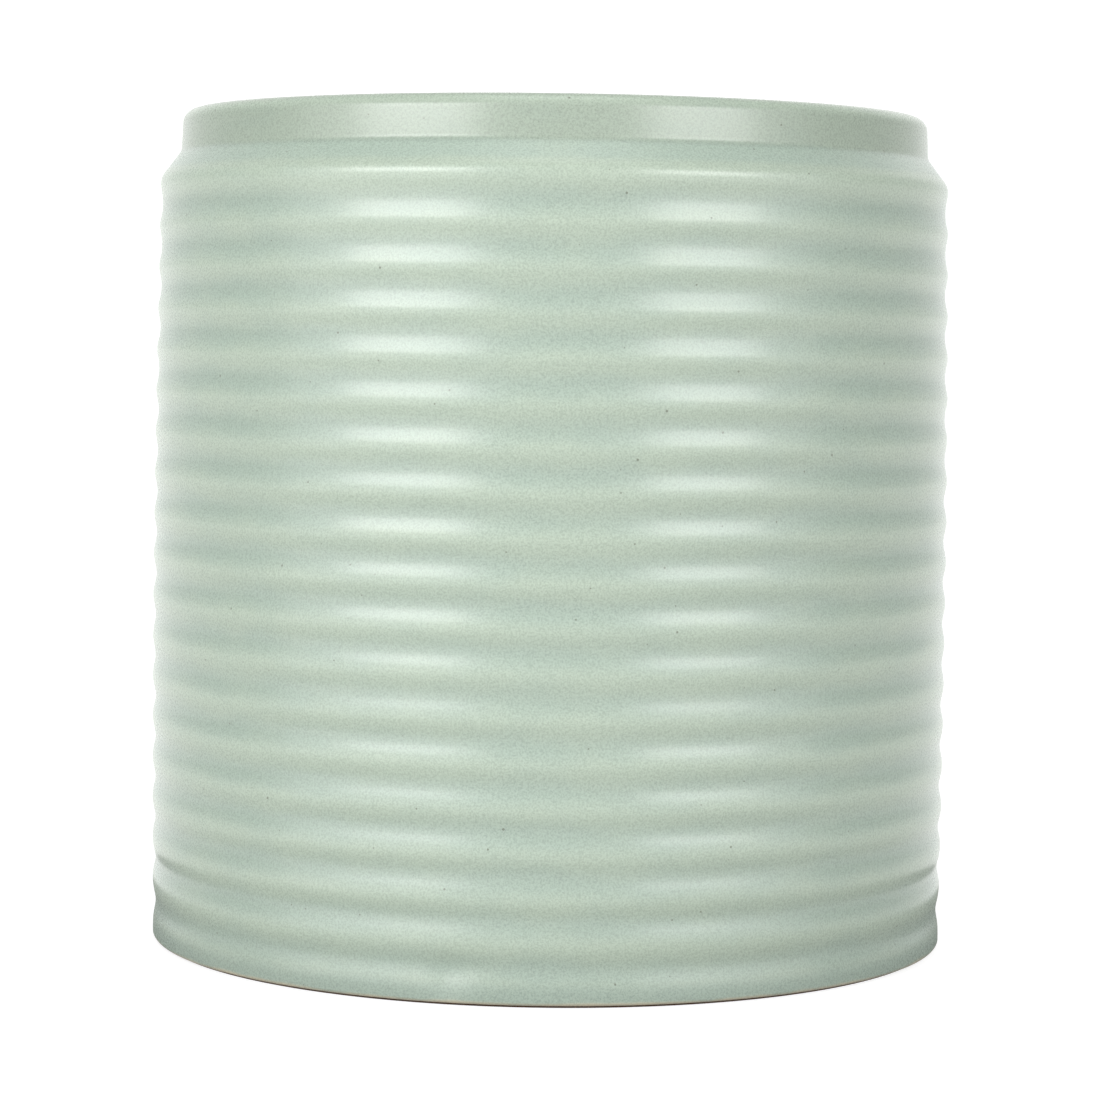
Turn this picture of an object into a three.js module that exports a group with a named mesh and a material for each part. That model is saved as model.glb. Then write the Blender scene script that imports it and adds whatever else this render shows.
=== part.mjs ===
// A celadon brush pot: a thick stoneware cylinder turned with horizontal ribs, with a stepped-in collar
// at the mouth and a recessed base inside a bare foot ring. Millimetres, +Z up, origin under the middle
// of the foot. The fired clay and its three coats of glaze are separate solids that share their faces.
import * as THREE from "three";

// Driving dimensions
const height = 121; // foot to the crest of the lip
const bellyRadius = 58.5; // over the rib crests, where the wall is widest
const bellyHeight = 38;
const wallBowRadius = 2900; // of the very flat arc that the wall follows from foot to shoulder

const ribCount = 19; // crests
const lowestCrest = 2;
const secondCrest = 8.7; // the lowest groove is a little wider than the rest
const ribPitch = 5.97; // from the second crest up
const ribDepth = 0.4; // crest to groove, over the glaze
const clayRibDepth = 0.5; // the ribs cut in the clay are sharper, and the glaze softens them

const shoulderHeight = 111.1; // where the ribbed wall would meet the shoulder's slope
const collarHeight = 115; // where the shoulder's slope would meet the collar
const collarRadius = 54.65; // outside, at its root
const collarTopRadius = 54.35;
const shoulderRounding = 2.4;
const rootRounding = 1.6; // inside corner between the shoulder and the collar
const lipThickness = 4;
const lipRounding = 2; // outside, and tighter inside
const innerLipRounding = 1.8;

const wellRadius = 51.6; // the hollow that holds the brushes, over its glaze
const wellFloor = 12;
const wellCornerRadius = 8;
const throatHeight = 108; // from here up the hollow narrows to the lip

const glazeThickness = 0.6;
const glazeEdgeHeight = 0.4; // bare clay is left between the outer glaze and the table
const glazeEdgeRadius = 58;

const footOuterRadius = 57.2;
const footInnerRadius = 47.5;
const recessRadius = 45.5;
const recessHeight = 4.2; // clay ceiling of the recess under the base
const recessEdgeHeight = 2.4; // the base glaze starts here, part of the way up the foot ring
const recessEdgeRadius = 46.3;
const recessRounding = 1.2;

const segments = 40; // round the axis
const claySteps = 2; // points to an arc of the clay
const glazeSteps = 3;

const point = (radius, z) => new THREE.Vector2(radius, z);
const crests = [lowestCrest, ...Array.from({ length: ribCount - 1 }, (_, i) => secondCrest + i * ribPitch)];
const topCrest = crests[ribCount - 1];
const lipMiddleRadius = collarTopRadius - lipThickness / 2;

// Radius over the rib crests at a height.
const wallRadius = (z) => bellyRadius - (z - bellyHeight) ** 2 / (2 * wallBowRadius);

// Points of an arc that rounds off the corner between two straight stretches.
function rounded(before, corner, after, radius, steps) {
  const toBefore = before.clone().sub(corner).normalize();
  const toAfter = after.clone().sub(corner).normalize();
  const toCentre = toBefore.clone().add(toAfter).normalize();
  const halfAngle = toBefore.angleTo(toAfter) / 2;
  const tangent = radius / Math.tan(halfAngle);
  const centre = corner.clone().addScaledVector(toCentre, radius / Math.sin(halfAngle));
  const start = corner.clone().addScaledVector(toBefore, tangent).sub(centre);
  const end = corner.clone().addScaledVector(toAfter, tangent).sub(centre);
  const sweep = Math.atan2(start.cross(end), start.dot(end));
  const origin = point(0, 0);
  return Array.from({ length: steps + 1 }, (_, i) =>
    start.clone().rotateAround(origin, (sweep * i) / steps).add(centre),
  );
}

// Every outline below is set back by nothing for the face of the glaze, and by its thickness for the clay.

// The ribbed wall, from the lowest crest to the highest.
function ribs(setBack, depth) {
  const points = [];
  crests.forEach((crest, i) => {
    points.push(point(wallRadius(crest) - setBack, crest));
    if (crest === topCrest) return;
    const groove = (crest + crests[i + 1]) / 2;
    points.push(point(wallRadius(groove) - setBack - depth, groove));
  });
  return points;
}

// Over the shoulder and up the collar to the crest of the lip.
function collar(setBack, steps) {
  const wallTop = point(wallRadius(topCrest) - setBack, topCrest);
  const shoulder = point(wallTop.x, shoulderHeight);
  const root = point(collarRadius - setBack, collarHeight);
  const lipCorner = point(collarTopRadius - setBack, height - setBack);
  const lipCrest = point(lipMiddleRadius, height - setBack);
  return [
    ...rounded(wallTop, shoulder, root, shoulderRounding, steps),
    ...rounded(shoulder, root, lipCorner, rootRounding, steps),
    ...rounded(root, lipCorner, lipCrest, lipRounding - setBack, steps),
    lipCrest,
  ];
}

// From the crest of the lip down the hollow and in across its floor.
function well(setBack, steps) {
  const lipCrest = point(lipMiddleRadius, height - setBack);
  const lipCorner = point(collarTopRadius - lipThickness + setBack, height - setBack);
  const throat = point(wellRadius + setBack, throatHeight);
  const floorCorner = point(wellRadius + setBack, wellFloor - setBack);
  const middle = point(0, wellFloor - setBack);
  return [
    lipCrest,
    ...rounded(lipCrest, lipCorner, throat, innerLipRounding - setBack, steps),
    throat,
    ...rounded(throat, floorCorner, middle, wellCornerRadius + setBack, 2 * steps),
    middle,
  ];
}

const outerGlazeEdge = point(glazeEdgeRadius, glazeEdgeHeight);
const baseGlazeEdge = point(recessEdgeRadius, recessEdgeHeight);

// From the middle of the base out across the recess to the edge of its glaze.
function recess(setBack) {
  const middle = point(0, recessHeight - setBack);
  const corner = point(recessRadius - setBack / 2, recessHeight - setBack);
  return [middle, ...rounded(middle, corner, baseGlazeEdge, recessRounding, claySteps)];
}

// A piece turned on the wheel: its outline runs outwards at the bottom and inwards at the top.
function turned(name, outline, material) {
  const mesh = new THREE.Mesh(new THREE.LatheGeometry(outline, segments), material);
  mesh.name = name;
  mesh.rotation.x = Math.PI / 2; // LatheGeometry turns about Y
  return mesh;
}

const matteCeladon = new THREE.MeshStandardMaterial({ color: "#b7cabb", roughness: 0.42 });
const pooledCeladon = new THREE.MeshStandardMaterial({ color: "#b0c4b6", roughness: 0.38 });
const firedClay = new THREE.MeshStandardMaterial({ color: "#6a4a36", roughness: 0.85 });

const outerClayFace = [
  point(glazeEdgeRadius - glazeThickness / 2, glazeEdgeHeight),
  ...ribs(glazeThickness, clayRibDepth),
  ...collar(glazeThickness, claySteps),
];

function clayBody() {
  const footRing = [baseGlazeEdge, point(footInnerRadius, 0), point(footOuterRadius, 0)];
  const innerFace = well(glazeThickness, claySteps).slice(1);
  return turned("clay_body", [...recess(0), ...footRing, ...outerClayFace, ...innerFace], firedClay);
}

function outerGlaze() {
  const face = [outerGlazeEdge, ...ribs(0, ribDepth), ...collar(0, glazeSteps)];
  const back = [...outerClayFace].reverse();
  return turned("outer_glaze", [...face, ...back, outerGlazeEdge], matteCeladon);
}

function wellGlaze() {
  const face = well(0, glazeSteps);
  const back = well(glazeThickness, claySteps).reverse();
  return turned("well_glaze", [...back, ...face], matteCeladon);
}

function baseGlaze() {
  const back = recess(0).reverse();
  return turned("base_glaze", [...recess(glazeThickness), baseGlazeEdge, ...back], pooledCeladon);
}

const brushPot = new THREE.Group();
brushPot.add(clayBody(), outerGlaze(), wellGlaze(), baseGlaze());

export default brushPot;
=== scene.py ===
import math
import random

import bpy
from mathutils import Matrix, Vector


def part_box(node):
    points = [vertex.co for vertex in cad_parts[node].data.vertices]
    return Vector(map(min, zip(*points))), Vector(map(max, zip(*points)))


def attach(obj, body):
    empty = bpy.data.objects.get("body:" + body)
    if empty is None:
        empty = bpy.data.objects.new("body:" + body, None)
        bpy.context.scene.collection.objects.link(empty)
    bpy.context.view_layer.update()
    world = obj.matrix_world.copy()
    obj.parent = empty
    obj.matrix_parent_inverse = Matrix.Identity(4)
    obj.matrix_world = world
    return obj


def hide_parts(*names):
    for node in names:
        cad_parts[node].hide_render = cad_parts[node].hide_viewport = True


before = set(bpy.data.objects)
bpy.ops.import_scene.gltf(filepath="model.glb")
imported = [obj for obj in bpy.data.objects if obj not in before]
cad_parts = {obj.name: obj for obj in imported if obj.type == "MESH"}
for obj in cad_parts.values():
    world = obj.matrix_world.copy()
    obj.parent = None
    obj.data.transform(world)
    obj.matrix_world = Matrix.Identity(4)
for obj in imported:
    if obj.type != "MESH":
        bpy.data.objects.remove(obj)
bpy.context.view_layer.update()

# A celadon brush pot. Shapes are worked out in millimetres and placed in metres.
mm = 0.001
print("frame: ", sorted(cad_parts))

# The camera stands half a metre off, level with the upper ribs, and looks a little down
camera = {"distance": 506, "height": 90.9, "lookDown": 3.82, "lean": 0.72, "lens": 111.9}

bpy.ops.object.camera_add(location=(0, -camera["distance"] * mm, camera["height"] * mm))
cameraObject = bpy.context.object
cameraObject.data.lens = camera["lens"]
cameraObject.data.sensor_width = 36
cameraObject.matrix_world = (
    Matrix.Translation(cameraObject.location)
    @ Matrix.Rotation(math.radians(90 - camera["lookDown"]), 4, "X")
    @ Matrix.Rotation(math.radians(camera["lean"]), 4, "Z")
)
bpy.context.scene.camera = cameraObject
print("camera: ", camera["lens"], "mm lens")


def toLinear(hexColour):
    channels = [int(hexColour[i:i + 2], 16) / 255 for i in (1, 3, 5)]
    linear = [c / 12.92 if c <= 0.04045 else ((c + 0.055) / 1.055) ** 2.4 for c in channels]
    return (*linear, 1)


def addNode(tree, kind, settings=None, values=None, links=None):
    node = tree.nodes.new(kind)
    for name, value in (settings or {}).items():
        setattr(node, name, value)
    for socket, value in (values or {}).items():
        node.inputs[socket].default_value = value
    for socket, source in (links or {}).items():
        tree.links.new(source, node.inputs[socket])
    return node


def newMaterial(name):
    material = bpy.data.materials.new(name)
    material.use_nodes = True
    material.node_tree.nodes.clear()
    return material, material.node_tree


# The Mix node keeps its colour sockets at these places
mixFactor, mixA, mixB, mixResult = 0, 6, 7, 2

# Matt celadon: a thick, cloudy iron glaze that stays a little rough, so lights spread into soft patches.
# It runs off the crests, where it is thinner and greyer, and pools bluer in the grooves, which are darker from
# the thicker glaze and from painted shade.
celadon = {
    "thin": "#a5b2a3",
    "pooled": "#9daca0",
    "edge": "#c4bba4",  # where it thins out to nothing the clay warms it
    "speck": "#4c4a3c",  # iron spots
    "roughness": 0.28,
    "thickGlazeAndShade": 0.09,  # how much darker it is in the grooves, from thicker glaze and painted shade, and at the foot, from painted shade
    "collarDarkening": 0.2,  # and how much darker it is on the collar
    "ribPitch": 5.97,
    "pooledHeight": 10.8,  # a height where it is thickest, on the ledge under a groove
    "deepestHeight": 11.8,  # and one where the groove is darkest, from thicker glaze and painted shade
    "drift": 1.6,  # how far its bands wander up and down
    "cloudSize": 22,
    "blotchSize": 4,
    "blotchFlatness": 0.45,  # blotches lie along the ribs
    "grainSize": 0.27,
    "skinSize": 1.6,
    "speckSpacing": 1.9,
    # heights where a band starts and ends, and how strong it is at each
    "bands": {
        "ribs": (109, 112, 1, 0),
        "collar": (114.1, 115.1, 0, 1),
        "belowLip": (119.2, 120.4, 1, 0),
        "foot": (1.5, 5, 1, 0),
        "overShoulder": (111.8, 112.9, 0, 1),
        "underCollar": (114.4, 115.3, 1, 0),
    },
}


def celadonGlaze(name, look, ribbed=False, edgeHeight=None):
    material, tree = newMaterial(name)
    place = addNode(tree, "ShaderNodeTexCoord").outputs["Object"]
    height = addNode(tree, "ShaderNodeSeparateXYZ", links={0: place}).outputs["Z"]

    # clouds a couple of centimetres across, where the coat is thicker or thinner
    clouds = addNode(tree, "ShaderNodeTexNoise", values={"Scale": 1 / (look["cloudSize"] * mm), "Detail": 3.0},
                     links={"Vector": place}).outputs["Fac"]
    flatness = look["blotchFlatness"]
    flattened = addNode(tree, "ShaderNodeVectorMath", {"operation": "MULTIPLY"}, {1: (flatness, flatness, 1)},
                        {0: place}).outputs[0]
    blotches = addNode(tree, "ShaderNodeTexNoise",
                       values={"Scale": 1 / (look["blotchSize"] * mm), "Detail": 4.0},
                       links={"Vector": flattened}).outputs["Fac"]
    grain = addNode(tree, "ShaderNodeTexNoise",
                    values={"Scale": 1 / (look["grainSize"] * mm), "Detail": 2.0, "Roughness": 0.8},
                    links={"Vector": place}).outputs["Fac"]

    keeps = None
    if ribbed:
        band = {}
        for bandName, (start, end, atStart, atEnd) in look["bands"].items():
            band[bandName] = addNode(tree, "ShaderNodeMapRange", {"interpolation_type": "SMOOTHSTEP"},
                                     {"From Min": start * mm, "From Max": end * mm,
                                      "To Min": atStart, "To Max": atEnd}, {"Value": height}).outputs[0]
        drift = addNode(tree, "ShaderNodeMath", {"operation": "MULTIPLY_ADD"},
                        {1: look["drift"] * mm, 2: -look["drift"] / 2 * mm}, {0: clouds}).outputs[0]
        drifted = addNode(tree, "ShaderNodeMath", {"operation": "ADD"}, links={0: height, 1: drift}).outputs[0]
        pitch = look["ribPitch"] * mm
        waves = []
        for middle in (look["pooledHeight"], look["deepestHeight"]):
            phase = addNode(tree, "ShaderNodeMath", {"operation": "MULTIPLY_ADD"},
                            {1: 2 * math.pi / pitch, 2: -2 * math.pi * middle * mm / pitch},
                            {0: drifted}).outputs[0]
            wave = addNode(tree, "ShaderNodeMath", {"operation": "COSINE"}, links={0: phase}).outputs[0]
            wave = addNode(tree, "ShaderNodeMath", {"operation": "MULTIPLY_ADD"}, {1: 0.5, 2: 0.5},
                           {0: wave}).outputs[0]
            waves.append(addNode(tree, "ShaderNodeMath", {"operation": "MULTIPLY"},
                                 links={0: wave, 1: band["ribs"]}).outputs[0])
        # pool tints the glaze bluer; deep darkens the grooves, partly for thicker glaze and partly as painted
        # shade
        pool, deep = waves
        # the collar is darker from its root nearly to the lip
        onCollar = addNode(tree, "ShaderNodeMath", {"operation": "MULTIPLY"},
                           links={0: band["collar"], 1: band["belowLip"]}).outputs[0]
        # it ran down the collar and lies in its root, and gathered at the foot too
        inRoot = addNode(tree, "ShaderNodeMath", {"operation": "MULTIPLY"},
                         links={0: band["overShoulder"], 1: band["underCollar"]}).outputs[0]
        for gathered in (band["foot"], inRoot):
            pool = addNode(tree, "ShaderNodeMath", {"operation": "MAXIMUM"},
                           links={0: pool, 1: gathered}).outputs[0]
        # darker at the foot too: painted shade where the pot meets the floor
        deep = addNode(tree, "ShaderNodeMath", {"operation": "MAXIMUM"},
                       links={0: deep, 1: band["foot"]}).outputs[0]
        keeps = addNode(tree, "ShaderNodeMath", {"operation": "MULTIPLY_ADD"}, {1: -look["thickGlazeAndShade"], 2: 1.0},
                        {0: deep}).outputs[0]
        # the collar is darkened too
        keeps = addNode(tree, "ShaderNodeMath", {"operation": "MULTIPLY_ADD"}, {1: -look["collarDarkening"]},
                        {0: onCollar, 2: keeps}).outputs[0]
    else:
        pool = clouds
    shift = addNode(tree, "ShaderNodeMath", {"operation": "MULTIPLY_ADD"}, {1: 1.4, 2: -0.7},
                    {0: blotches}).outputs[0]
    pool = addNode(tree, "ShaderNodeMath", {"operation": "ADD", "use_clamp": True},
                   links={0: pool, 1: shift}).outputs[0]
    colour = addNode(tree, "ShaderNodeMix", {"data_type": "RGBA"},
                     {mixA: toLinear(look["thin"]), mixB: toLinear(look["pooled"])},
                     {mixFactor: pool}).outputs[mixResult]
    if keeps:
        colour = addNode(tree, "ShaderNodeVectorMath", {"operation": "SCALE"},
                         links={0: colour, "Scale": keeps}).outputs[0]

    # fine crystals in the coat, about a quarter of a millimetre across
    shade = addNode(tree, "ShaderNodeMapRange",
                    values={"From Min": 0.3, "From Max": 0.7, "To Min": 0.86, "To Max": 1.14},
                    links={"Value": grain}).outputs[0]
    colour = addNode(tree, "ShaderNodeVectorMath", {"operation": "SCALE"},
                     links={0: colour, "Scale": shade}).outputs[0]

    # iron spots up to 0.4 mm across, in about half of the cells
    cells = addNode(tree, "ShaderNodeTexVoronoi", values={"Scale": 1 / (look["speckSpacing"] * mm)},
                    links={"Vector": place})
    chance = addNode(tree, "ShaderNodeSeparateXYZ", links={0: cells.outputs["Color"]}).outputs["X"]
    reach = addNode(tree, "ShaderNodeMapRange",
                    values={"From Min": 0.5, "From Max": 1.0, "To Min": 0.0, "To Max": 0.1},
                    links={"Value": chance}).outputs[0]
    inside = addNode(tree, "ShaderNodeMath", {"operation": "SUBTRACT"},
                     links={0: reach, 1: cells.outputs["Distance"]}).outputs[0]
    speck = addNode(tree, "ShaderNodeMapRange", {"interpolation_type": "SMOOTHSTEP"},
                    {"From Min": -0.012, "From Max": 0.02, "To Min": 0.0, "To Max": 0.65},
                    {"Value": inside}).outputs[0]
    colour = addNode(tree, "ShaderNodeMix", {"data_type": "RGBA"}, {mixB: toLinear(look["speck"])},
                     {mixFactor: speck, mixA: colour}).outputs[mixResult]

    if edgeHeight is not None:
        ragged = addNode(tree, "ShaderNodeMath", {"operation": "MULTIPLY_ADD"},
                         {1: 0.9 * mm, 2: -0.45 * mm}, {0: blotches}).outputs[0]
        above = addNode(tree, "ShaderNodeMath", {"operation": "ADD"}, links={0: height, 1: ragged}).outputs[0]
        thinned = addNode(tree, "ShaderNodeMapRange", {"interpolation_type": "SMOOTHSTEP"},
                          {"From Min": edgeHeight * mm, "From Max": (edgeHeight + 0.6) * mm,
                           "To Min": 0.95, "To Max": 0.0}, {"Value": above}).outputs[0]
        colour = addNode(tree, "ShaderNodeMix", {"data_type": "RGBA"}, {mixB: toLinear(look["edge"])},
                         {mixFactor: thinned, mixA: colour}).outputs[mixResult]

    roughness = addNode(tree, "ShaderNodeMapRange",
                        values={"From Min": 0.3, "From Max": 0.7, "To Min": look["roughness"] - 0.05,
                                "To Max": look["roughness"] + 0.05}, links={"Value": grain}).outputs[0]
    skin = addNode(tree, "ShaderNodeTexNoise", values={"Scale": 1 / (look["skinSize"] * mm), "Detail": 2.0},
                   links={"Vector": place}).outputs["Fac"]
    relief = addNode(tree, "ShaderNodeBump", values={"Strength": 0.25, "Distance": 0.03 * mm},
                     links={"Height": skin})
    relief = addNode(tree, "ShaderNodeBump", values={"Strength": 0.2, "Distance": 0.02 * mm},
                     links={"Height": grain, "Normal": relief.outputs[0]})
    shader = addNode(tree, "ShaderNodeBsdfPrincipled", values={"IOR": 1.5},
                     links={"Base Color": colour, "Roughness": roughness, "Normal": relief.outputs[0]})
    addNode(tree, "ShaderNodeOutputMaterial", links={"Surface": shader.outputs[0]})
    return material


# Fired stoneware: bare iron-brown clay, dry and gritty, with no shine
stoneware = {"body": "#6f4e3a", "dark": "#4a3326", "grit": "#a58a6c", "roughness": 0.85,
             "cloudSize": 9, "gritSize": 0.5}


def firedStoneware(name, look):
    material, tree = newMaterial(name)
    place = addNode(tree, "ShaderNodeTexCoord").outputs["Object"]
    clouds = addNode(tree, "ShaderNodeTexNoise", values={"Scale": 1 / (look["cloudSize"] * mm), "Detail": 4.0},
                     links={"Vector": place}).outputs["Fac"]
    colour = addNode(tree, "ShaderNodeMix", {"data_type": "RGBA"},
                     {mixA: toLinear(look["dark"]), mixB: toLinear(look["body"])},
                     {mixFactor: clouds}).outputs[mixResult]
    sand = addNode(tree, "ShaderNodeTexNoise", values={"Scale": 1 / (look["gritSize"] * mm), "Detail": 3.0},
                   links={"Vector": place}).outputs["Fac"]
    grit = addNode(tree, "ShaderNodeMapRange", values={"From Min": 0.6, "From Max": 0.75},
                   links={"Value": sand}).outputs[0]
    colour = addNode(tree, "ShaderNodeMix", {"data_type": "RGBA"}, {mixB: toLinear(look["grit"])},
                     {mixFactor: grit, mixA: colour}).outputs[mixResult]
    relief = addNode(tree, "ShaderNodeBump", values={"Strength": 0.6, "Distance": 0.08 * mm},
                     links={"Height": sand})
    shader = addNode(tree, "ShaderNodeBsdfPrincipled", values={"Roughness": look["roughness"]},
                     links={"Base Color": colour, "Normal": relief.outputs[0]})
    addNode(tree, "ShaderNodeOutputMaterial", links={"Surface": shader.outputs[0]})
    return material


wall = {
    "bellyRadius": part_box("outer_glaze")[1].x / mm,
    "bellyHeight": 38,
    "bowRadius": 2900,
    "ribCount": 19,
    "lowestCrest": 2,
    "secondCrest": 8.7,  # the lowest groove is a little wider than the rest
    "ribPitch": 5.97,
    "ribDepth": 0.4,
    "clayRibDepth": 0.5,  # sharper in the clay, and the glaze softens them
    "lowTightness": -0.1,  # below nought the crests are rounder than the grooves, and above it tighter
    "highTightness": 0.12,
    "unevenness": 0.1,  # share of its depth by which one groove differs from the next
    "footRounding": 0.6,
    "footRoundingTop": 0.9,
    "glazeEdgeHeight": 0.4,
}
collar = {
    "shoulderHeight": 111.1,
    "shoulderRounding": 2.4,
    "rootHeight": 115,
    "rootRadius": 54.65,
    "rootRounding": 1.6,
    "topRadius": 54.35,
    "lipThickness": 4,
    "lipRounding": 2,
    "innerLipRounding": 1.8,
    "top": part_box("outer_glaze")[1].z / mm,
}
well = {
    "radius": 51.6,
    "floor": 12,
    "cornerRadius": 8,
    "throatHeight": 108,
    "ringPitch": 7.5,
    "ringDepth": 0.12,
}
foot = {
    "outerRadius": 57.2,
    "innerRadius": 47.5,
    "rounding": 0.5,
    "recessRadius": 45.5,
    "recessHeight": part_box("base_glaze")[1].z / mm,
    "recessEdgeHeight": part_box("base_glaze")[0].z / mm,
    "recessEdgeRadius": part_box("base_glaze")[1].x / mm,
    "recessRounding": 1.2,
    "ceilingPoints": 11,
    "ceilingSpacing": 3.5,
}
glazeThickness = 0.6

# How finely each piece is turned
steps = {"turn": 256, "clayArc": 3, "glazeArc": 9, "clayRib": 4, "glazeRib": 12,
         "clayWell": 8, "glazeWell": 120, "clayFoot": 4, "glazeFoot": 8, "recessFace": 6}

crests = [wall["lowestCrest"]]
crests += [wall["secondCrest"] + i * wall["ribPitch"] for i in range(wall["ribCount"] - 1)]


def wallRadius(z):
    return wall["bellyRadius"] - (z - wall["bellyHeight"]) ** 2 / (2 * wall["bowRadius"])


# Points of an arc that rounds off the corner between two straight stretches
def roundedCorner(before, corner, after, radius, arcSteps):
    toBefore = math.atan2(before[1] - corner[1], before[0] - corner[0])
    toAfter = math.atan2(after[1] - corner[1], after[0] - corner[0])
    opening = (toAfter - toBefore + math.pi) % (2 * math.pi) - math.pi
    middle = toBefore + opening / 2
    half = abs(opening) / 2
    reach = radius / math.sin(half)
    centre = (corner[0] + reach * math.cos(middle), corner[1] + reach * math.sin(middle))
    side = math.copysign(1, opening)
    first = toBefore - side * math.pi / 2
    sweep = -side * (math.pi - 2 * half)
    return [
        (centre[0] + radius * math.cos(first + sweep * i / arcSteps),
         centre[1] + radius * math.sin(first + sweep * i / arcSteps))
        for i in range(arcSteps + 1)
    ]


# The ribbed wall from the lowest crest to the highest. The crests are rounder near the foot and tighter
# near the shoulder, and no two grooves are quite as deep as each other.
def ribbedWall(setBack, depth, stepsPerRib):
    potter = random.Random(5)
    points = []
    for crest, nextCrest in zip(crests, crests[1:]):
        grooveDepth = depth * (1 + wall["unevenness"] * potter.uniform(-1, 1))
        for i in range(stepsPerRib):
            turn = 2 * math.pi * i / stepsPerRib
            z = crest + (nextCrest - crest) * i / stepsPerRib
            tightness = wall["lowTightness"] + (wall["highTightness"] - wall["lowTightness"]) * z / crests[-1]
            dip = 0.5 * (1 - math.cos(turn)) + 0.5 * tightness * (1 - math.cos(2 * turn))
            points.append((wallRadius(z) - setBack - grooveDepth * dip, z))
    points.append((wallRadius(crests[-1]) - setBack, crests[-1]))
    return points


def shoulderAndLip(setBack, arcSteps):
    wallTop = (wallRadius(crests[-1]) - setBack, crests[-1])
    shoulder = (wallTop[0], collar["shoulderHeight"])
    root = (collar["rootRadius"] - setBack, collar["rootHeight"])
    lipCorner = (collar["topRadius"] - setBack, collar["top"] - setBack)
    lipCrest = (collar["topRadius"] - collar["lipThickness"] / 2, collar["top"] - setBack)
    return [
        *roundedCorner(wallTop, shoulder, root, collar["shoulderRounding"], arcSteps),
        *roundedCorner(shoulder, root, lipCorner, collar["rootRounding"], arcSteps),
        *roundedCorner(root, lipCorner, lipCrest, collar["lipRounding"] - setBack, arcSteps),
        lipCrest,
    ]


def wellOutline(setBack, arcSteps, rings):
    innerRadius = collar["topRadius"] - collar["lipThickness"] + setBack
    lipCrest = (collar["topRadius"] - collar["lipThickness"] / 2, collar["top"] - setBack)
    lipCorner = (innerRadius, collar["top"] - setBack)
    throat = (well["radius"] + setBack, well["throatHeight"])
    floorZ = well["floor"] - setBack
    floorCorner = (well["radius"] + setBack, floorZ)
    corner = roundedCorner(throat, floorCorner, (0, floorZ), well["cornerRadius"] + setBack, 2 * arcSteps)
    lipRounding = collar["innerLipRounding"] - setBack
    points = [lipCrest, *roundedCorner(lipCrest, lipCorner, throat, lipRounding, arcSteps)]
    # throwing rings down the wall and in across the floor
    wallTop, wallBottom = throat[1], corner[0][1]
    for i in range(rings):
        z = wallTop + (wallBottom - wallTop) * i / rings
        swell = 0.5 * (1 - math.cos(2 * math.pi * (wallTop - z) / well["ringPitch"]))
        points.append((throat[0] - well["ringDepth"] * swell, z))
    points += corner
    floorRim = corner[-1][0]
    for i in range(1, rings // 2):
        radius = floorRim * (1 - i / (rings // 2))
        swell = 0.5 * (1 - math.cos(2 * math.pi * (floorRim - radius) / well["ringPitch"]))
        points.append((radius, floorZ + well["ringDepth"] * swell))
    points.append((0, floorZ))
    return points


def recessOutline(setBack, arcSteps):
    ceiling = foot["recessHeight"] - setBack
    middle = (0, ceiling)
    corner = (foot["recessRadius"] - setBack / 2, ceiling)
    edge = (foot["recessEdgeRadius"], foot["recessEdgeHeight"])
    across = [(i * foot["ceilingSpacing"], ceiling) for i in range(1, foot["ceilingPoints"] + 1)]
    return [middle, *across, *roundedCorner(middle, corner, edge, foot["recessRounding"], arcSteps)]


# An outline drawn as a chain of edges and turned once round the axis, as on the wheel
def turnPiece(name, outline):
    bpy.ops.object.select_all(action="DESELECT")
    radius, z = outline[0]
    bpy.ops.mesh.primitive_plane_add(size=mm, location=(radius * mm, 0, z * mm))
    piece = bpy.context.object
    piece.name = piece.data.name = name
    bpy.ops.object.mode_set(mode="EDIT")
    bpy.ops.mesh.select_all(action="SELECT")
    bpy.ops.mesh.merge(type="CENTER")
    for (radius, z), (nextRadius, nextZ) in zip(outline, outline[1:]):
        step = ((nextRadius - radius) * mm, 0, (nextZ - z) * mm)
        bpy.ops.mesh.extrude_region_move(TRANSFORM_OT_translate={"value": step})
    bpy.ops.mesh.select_all(action="SELECT")
    bpy.ops.mesh.spin(steps=steps["turn"], angle=2 * math.pi, center=(0, 0, 0), axis=(0, 0, 1))
    bpy.ops.mesh.select_all(action="SELECT")
    bpy.ops.mesh.remove_doubles(threshold=0.01 * mm)
    bpy.ops.mesh.normals_make_consistent(inside=False)
    bpy.ops.object.mode_set(mode="OBJECT")
    bpy.ops.object.transform_apply(location=True, rotation=True, scale=True)
    bpy.ops.object.shade_smooth_by_angle(angle=math.radians(35))
    print("turned: ", name, len(piece.data.vertices), "points")
    return piece


# Hands and drying leave a turned wall slightly out of true, by swells some 20 mm across
swell = {"width": 22, "depth": 0.12, "top": 108, "fadeUnderTop": 6, "fadeOverFoot": 3,
         "skin": 0.47}  # how far the outer face lies inside the wall's radius at most


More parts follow.
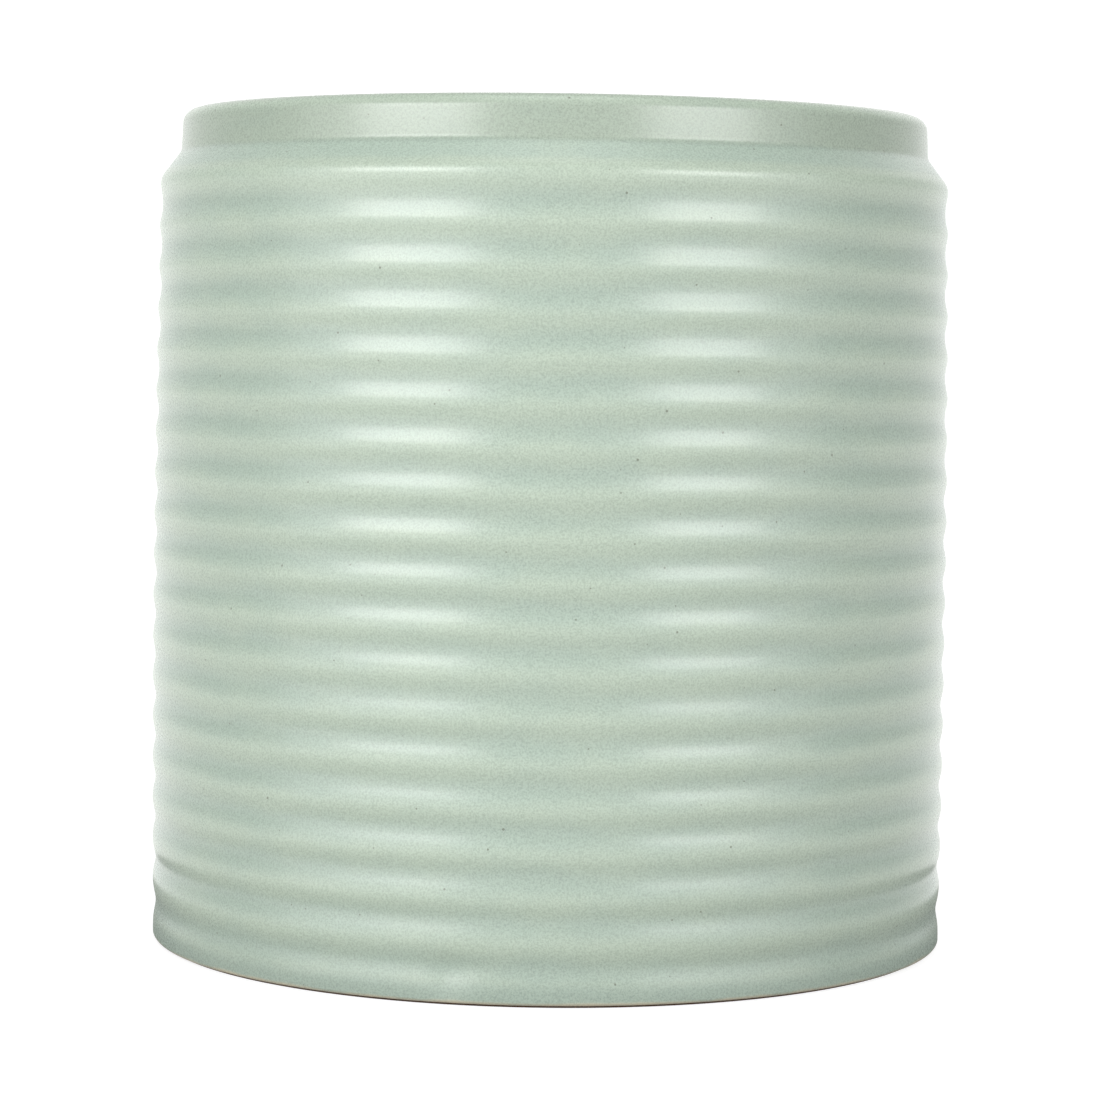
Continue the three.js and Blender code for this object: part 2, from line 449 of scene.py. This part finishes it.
def unevenWall(piece, top, skin):
    wallGroup = piece.vertex_groups.new(name="wall")
    for vertex in piece.data.vertices:
        height = vertex.co.z / mm
        outer = math.hypot(vertex.co.x, vertex.co.y) > wallRadius(height) * mm - skin * mm
        if outer and vertex.co.z < top * mm:
            fade = min(1, (top - height) / swell["fadeUnderTop"], height / swell["fadeOverFoot"])
            wallGroup.add([vertex.index], max(fade, 0), "REPLACE")
    clouds = bpy.data.textures.new("swells", "CLOUDS")
    clouds.noise_scale = swell["width"] * mm
    clouds.noise_depth = 1
    bpy.ops.object.select_all(action="DESELECT")
    piece.select_set(True)
    bpy.context.view_layer.objects.active = piece
    bpy.ops.object.modifier_add(type="DISPLACE")
    displace = piece.modifiers[-1]
    displace.texture = clouds
    displace.texture_coords = "LOCAL"
    displace.strength = swell["depth"] * mm
    displace.mid_level = 1.0  # inwards only
    displace.vertex_group = "wall"
    bpy.ops.object.modifier_apply(modifier=displace.name)
    piece.vertex_groups.clear()


# A thumb pressed the soft wall just above the foot, a little left of the middle
thumbPress = {"bearing": -12.2, "height": 4.2, "depth": 0.38, "reach": 4}


def pressWall(piece, press):
    bearing = math.radians(press["bearing"])
    outwards = Vector((math.sin(bearing), -math.cos(bearing), 0))
    middle = outwards * wallRadius(press["height"]) * mm + Vector((0, 0, press["height"] * mm))
    nearest = min(piece.data.vertices, key=lambda vertex: (vertex.co - middle).length).index
    bpy.ops.object.mode_set(mode="EDIT")
    bpy.ops.mesh.select_mode(type="VERT")
    bpy.ops.mesh.select_all(action="DESELECT")
    bpy.ops.object.mode_set(mode="OBJECT")
    piece.data.vertices[nearest].select = True
    bpy.ops.object.mode_set(mode="EDIT")
    bpy.ops.transform.translate(value=-outwards * press["depth"] * mm, use_proportional_edit=True,
                                use_proportional_connected=True, proportional_edit_falloff="SMOOTH",
                                proportional_size=press["reach"] * mm)
    bpy.ops.object.mode_set(mode="OBJECT")


def finishPiece(piece, node, material):
    piece.data.materials.append(material)
    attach(piece, "root")
    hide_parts(node)


def footRounding(setBack, arcSteps):
    radius, top = wall["footRounding"], wall["footRoundingTop"]
    lowest = math.asin((top - wall["glazeEdgeHeight"]) / radius)
    arc = [lowest * (1 - i / arcSteps) for i in range(arcSteps + 1)]
    return [(wallRadius(top) - setBack - radius * (1 - math.cos(a)), top - radius * math.sin(a)) for a in arc]


clayFace = [
    *footRounding(glazeThickness / 2, steps["clayFoot"]),
    *ribbedWall(glazeThickness, wall["clayRibDepth"], steps["clayRib"]),
    *shoulderAndLip(glazeThickness, steps["clayArc"]),
]
glazeFace = [
    *footRounding(0, steps["glazeFoot"]),
    *ribbedWall(0, wall["ribDepth"], steps["glazeRib"]),
    *shoulderAndLip(0, steps["glazeArc"]),
]
wellBack = wellOutline(glazeThickness, steps["clayArc"], steps["clayWell"])
wellFace = wellOutline(0, steps["glazeArc"], steps["glazeWell"])
recessBack = recessOutline(0, steps["clayFoot"])
recessEdge = (foot["recessEdgeRadius"], foot["recessEdgeHeight"])
footInside, footOutside = (foot["innerRadius"], 0), (foot["outerRadius"], 0)

clayBody = turnPiece("clayBody", [
    *recessBack,
    *roundedCorner(recessEdge, footInside, footOutside, foot["rounding"], steps["clayFoot"]),
    *roundedCorner(footInside, footOutside, clayFace[0], foot["rounding"], steps["clayFoot"]),
    *clayFace,
    *wellBack[1:],
])
outerGlaze = turnPiece("outerGlaze", [*glazeFace, *reversed(clayFace), glazeFace[0]])
unevenWall(outerGlaze, swell["top"], swell["skin"])
pressWall(outerGlaze, thumbPress)
print("worked: ", "outerGlaze swells and thumb press")
wellGlaze = turnPiece("wellGlaze", [*reversed(wellBack), *wellFace])
baseGlaze = turnPiece("baseGlaze", [
    *recessOutline(glazeThickness, steps["recessFace"]),
    recessEdge,
    *reversed(recessBack),
])

finishPiece(clayBody, "clay_body", firedStoneware("firedStoneware", stoneware))
finishPiece(outerGlaze, "outer_glaze",
            celadonGlaze("matteCeladonOutside", celadon, ribbed=True, edgeHeight=wall["glazeEdgeHeight"]))
finishPiece(wellGlaze, "well_glaze", celadonGlaze("matteCeladonInside", celadon))
finishPiece(baseGlaze, "base_glaze", celadonGlaze("matteCeladonBase", celadon))

# The floor is a white table lit from below, and it glows a little less near the pot, as a painted contact
# shadow. What the pot itself gets from below comes off a small paper card that the camera doesn't see, so that
# the table doesn't flood it.
stage = {
    "floorWidth": 8000,
    "floor": "#8c8c8c",
    # how brightly the table glows under the pot: a painted contact shadow that fades out between glowFrom and
    # glowTo
    "paintedShadowGlow": 0.84,
    "glowAway": 1.0,
    "glowFrom": 70,
    "glowTo": 320,
    "cardRadius": 90,
    "card": "#9e9e9e",
    "cardDrop": 0.2,
}

bpy.ops.object.select_all(action="DESELECT")
bpy.ops.mesh.primitive_plane_add(size=stage["floorWidth"] * mm, location=(0, 0, 0))
floor = bpy.context.object
floor.name = "studioFloor"
floorMaterial, floorTree = newMaterial("whiteTablePaintedShadow")
away = addNode(floorTree, "ShaderNodeVectorMath", {"operation": "LENGTH"},
               links={0: addNode(floorTree, "ShaderNodeTexCoord").outputs["Object"]}).outputs["Value"]
# painted contact shadow: the table glows less near the pot
glow = addNode(floorTree, "ShaderNodeMapRange", {"interpolation_type": "SMOOTHSTEP"},
               {"From Min": stage["glowFrom"] * mm, "From Max": stage["glowTo"] * mm,
                "To Min": stage["paintedShadowGlow"], "To Max": stage["glowAway"]}, {"Value": away}).outputs[0]
table = addNode(floorTree, "ShaderNodeBsdfPrincipled",
                values={"Base Color": toLinear(stage["floor"]), "Roughness": 0.9,
                        "Emission Color": (1, 1, 1, 1)},
                links={"Emission Strength": glow})
addNode(floorTree, "ShaderNodeOutputMaterial", links={"Surface": table.outputs[0]})
floor.data.materials.append(floorMaterial)
floor.visible_diffuse = floor.visible_glossy = floor.visible_shadow = False

bpy.ops.object.select_all(action="DESELECT")
bpy.ops.mesh.primitive_circle_add(vertices=64, radius=stage["cardRadius"] * mm, fill_type="NGON",
                                  location=(0, 0, -stage["cardDrop"] * mm))
card = bpy.context.object
card.name = "paperCard"
cardMaterial, cardTree = newMaterial("whitePaper")
paper = addNode(cardTree, "ShaderNodeBsdfPrincipled",
                values={"Base Color": toLinear(stage["card"]), "Roughness": 0.9})
addNode(cardTree, "ShaderNodeOutputMaterial", links={"Surface": paper.outputs[0]})
card.data.materials.append(cardMaterial)
card.visible_camera = False

# The pot stands in a pale surround, brightest behind it and dim at its sides. Each number is how bright it is
# straight that way, and that fades as the square of the cosine. The camera sees plain white.
surround = {
    "behind": 1.62,
    "inFront": 0.56,
    "left": 0.05,
    "right": 0.08,
    "belowTheTable": 0.9,
    "seen": 1.2,
}

world = bpy.data.worlds.new("studio")
world.use_nodes = True
bpy.context.scene.world = world
sky = world.node_tree
sky.nodes.clear()
towards = addNode(sky, "ShaderNodeSeparateXYZ",
                  links={0: addNode(sky, "ShaderNodeTexCoord").outputs["Generated"]}).outputs


def fadeTowards(axis, sign):
    facing = addNode(sky, "ShaderNodeMath", {"operation": "MULTIPLY", "use_clamp": True}, {1: sign},
                     {0: towards[axis]}).outputs[0]
    return addNode(sky, "ShaderNodeMath", {"operation": "POWER"}, {1: 2}, {0: facing}).outputs[0]


def sumOf(shares):
    total = 0
    for fade, strength in shares:
        share = addNode(sky, "ShaderNodeMath", {"operation": "MULTIPLY_ADD"}, {1: strength, 2: 0}, {0: fade})
        if total:
            sky.links.new(total, share.inputs[2])
        total = share.outputs[0]
    return total


behind, inFront = fadeTowards("Y", 1), fadeTowards("Y", -1)
left, right = fadeTowards("X", -1), fadeTowards("X", 1)
above = sumOf([(inFront, surround["inFront"]), (left, surround["left"]), (right, surround["right"])])
below = sumOf([(side, surround["belowTheTable"]) for side in (inFront, left, right)])
goesUp = addNode(sky, "ShaderNodeMath", {"operation": "GREATER_THAN"}, {1: 0}, {0: towards["Z"]}).outputs[0]
brightness = addNode(sky, "ShaderNodeMix", {"data_type": "FLOAT"},
                     links={0: goesUp, 2: below, 3: above}).outputs[0]
brightness = addNode(sky, "ShaderNodeMath", {"operation": "ADD"},
                     links={0: brightness, 1: sumOf([(behind, surround["behind"])])}).outputs[0]
seen = addNode(sky, "ShaderNodeLightPath").outputs["Is Camera Ray"]
brightness = addNode(sky, "ShaderNodeMix", {"data_type": "FLOAT"}, {3: surround["seen"]},
                     {0: seen, 2: brightness}).outputs[0]
lit = addNode(sky, "ShaderNodeBackground", values={"Color": (1, 1, 1, 1)}, links={"Strength": brightness})
addNode(sky, "ShaderNodeOutputWorld", links={"Surface": lit.outputs[0]})


lightsAim = 60  # half way up the pot


# A softbox that faces the middle of the pot, given by where it stands, its size and its brightness
def addSoftbox(name, light):
    bearing, rise = math.radians(light["bearing"]), math.radians(light["rise"])
    away = light["distance"] * mm
    width, tall = light["width"] * mm, light["height"] * mm
    bpy.ops.object.light_add(type="AREA")
    softbox = bpy.context.object
    softbox.name = name
    softbox.data.shape = "RECTANGLE"
    softbox.data.size = width
    softbox.data.size_y = tall
    softbox.data.energy = math.pi * width * tall * light["brightness"]
    softbox.visible_camera = False
    direction = Matrix.Rotation(bearing, 4, "Z") @ Matrix.Rotation(math.pi / 2 - rise, 4, "X")
    middle = Matrix.Translation((0, 0, lightsAim * mm))
    softbox.matrix_world = middle @ direction @ Matrix.Translation((0, 0, away))
    return softbox


# One softbox on each side of the camera, each with a brighter middle, and weak ones above and behind
softboxes = {
    "leftSoftbox": {"bearing": -50, "rise": 12, "distance": 1180,
                    "width": 1300, "height": 1050, "brightness": 1.59},
    "leftMiddle": {"bearing": -42, "rise": 22, "distance": 1170,
                   "width": 700, "height": 440, "brightness": 7.47},
    "rightSoftbox": {"bearing": 52, "rise": 14, "distance": 1180,
                     "width": 1150, "height": 950, "brightness": 1.18},
    "rightMiddle": {"bearing": 44, "rise": 20, "distance": 1170,
                    "width": 650, "height": 420, "brightness": 6.23},
    "overhead": {"bearing": 0, "rise": 84, "distance": 1200,
                 "width": 600, "height": 600, "brightness": 1.6},
    "backRight": {"bearing": 150, "rise": 35, "distance": 1300,
                  "width": 900, "height": 700, "brightness": 0.35},
}
for name, light in softboxes.items():
    addSoftbox(name, light)
bpy.context.scene.view_settings.view_transform = "Standard"
print("lights: ", len(softboxes))
